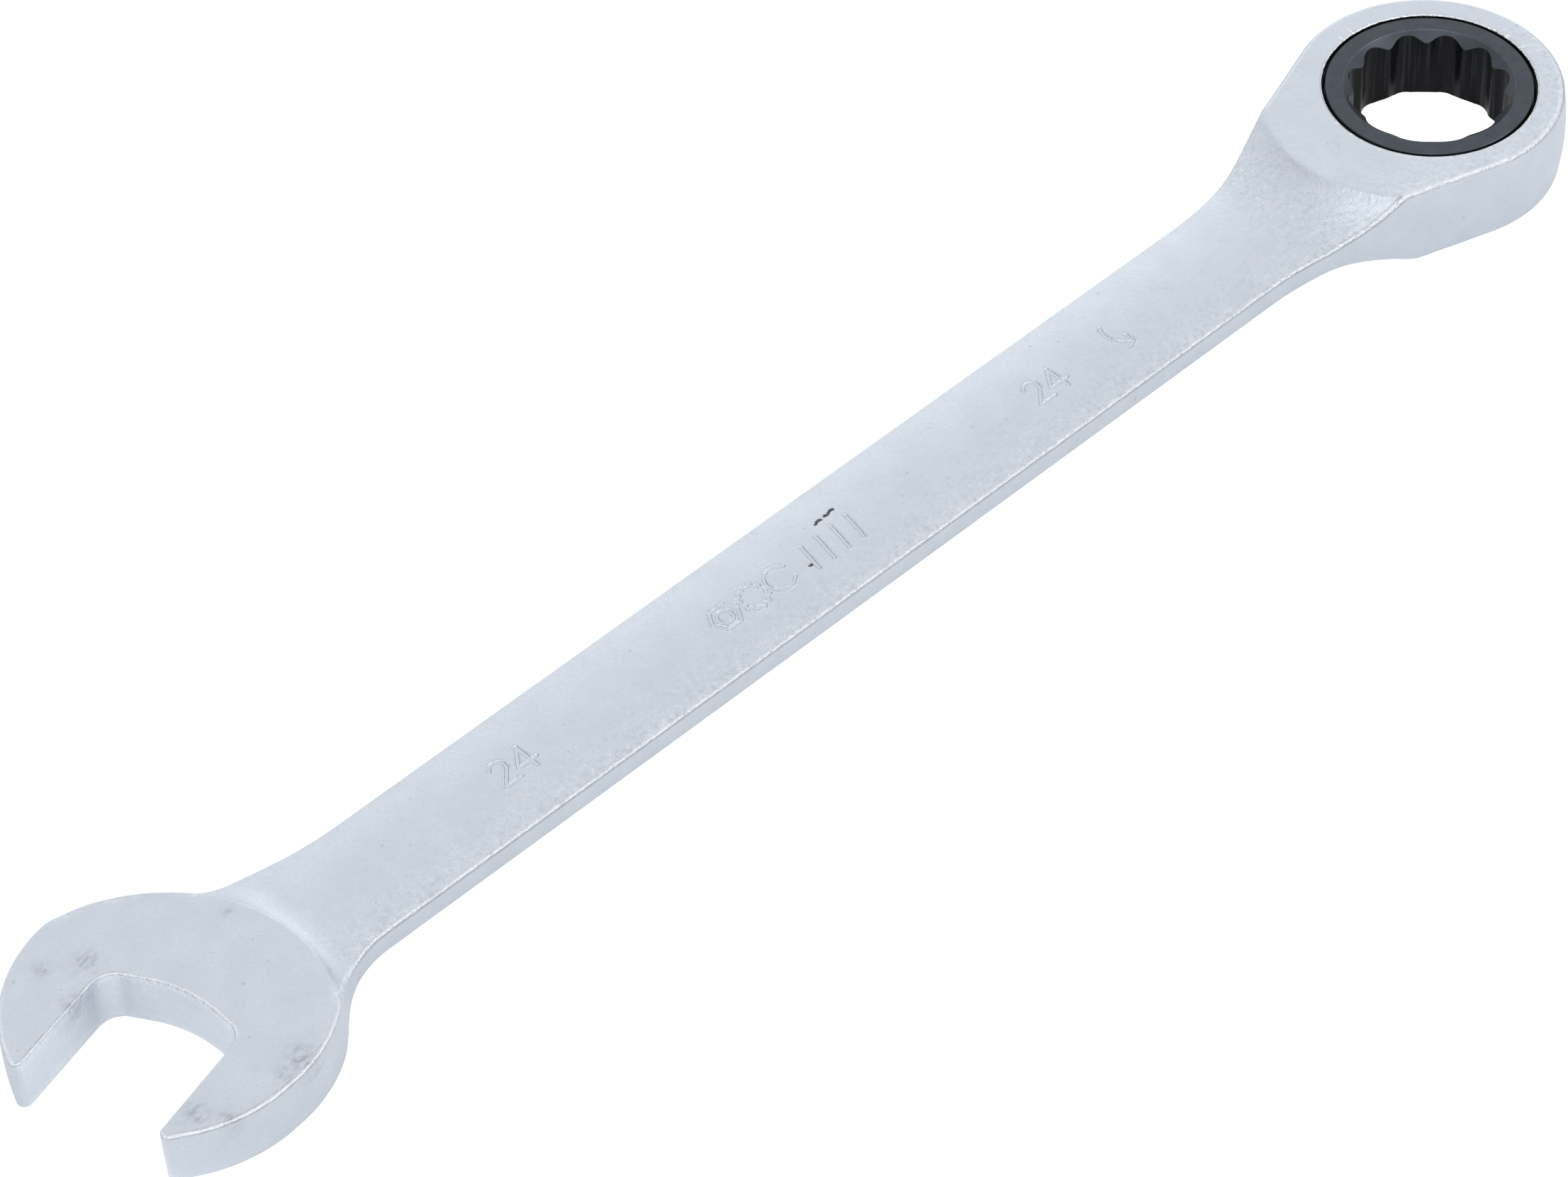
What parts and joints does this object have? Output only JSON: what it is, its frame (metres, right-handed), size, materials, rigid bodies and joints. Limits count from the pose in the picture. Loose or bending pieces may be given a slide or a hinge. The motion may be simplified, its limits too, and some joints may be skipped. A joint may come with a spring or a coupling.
{
  "type": "ratcheting combination wrench",
  "caption": "Combination wrench with an angled open jaw at one end, a flat forged handle and a fine-tooth ratcheting 12-point ring at the other.",
  "frame": {"origin": "on the ratchet ring's axis, at mid thickness of the ring head", "axes": "+Z along the ring's axis and out of the marked face; the handle runs along -X from the ring to the open jaw; the jaw opens towards -X and, by 15 degrees, towards -Y"},
  "size_m": [0.3174, 0.0494, 0.015],
  "materials": {
    "satin_chrome": "satin chrome plate over a bead-blasted chrome-vanadium steel forging",
    "black_phosphate": "dark phosphated and oiled steel",
    "tool_steel": "ground and hardened, unplated",
    "spring_steel": "bright drawn wire"
  },
  "bodies": {
    "wrench": {"wrench_body": "satin_chrome", "pawl_spring": "spring_steel", "retaining_ring": "spring_steel"},
    "drive_ring": {"ratchet_gear": "black_phosphate"},
    "pawl_block": {"pawl": "tool_steel"}
  },
  "joints": [
    {"name": "ratchet_spin", "type": "hinge", "parent": "wrench", "child": "drive_ring", "pos_m": [0, 0, 0], "axis": [0, 0, 1], "continuous": true},
    {"name": "pawl_slide", "type": "slide", "parent": "wrench", "child": "pawl_block", "axis": [-1, 0, 0], "range_m": [0, 0.00075], "stiffness_N_per_m": 400, "deforming": ["pawl_spring"]}
  ]
}
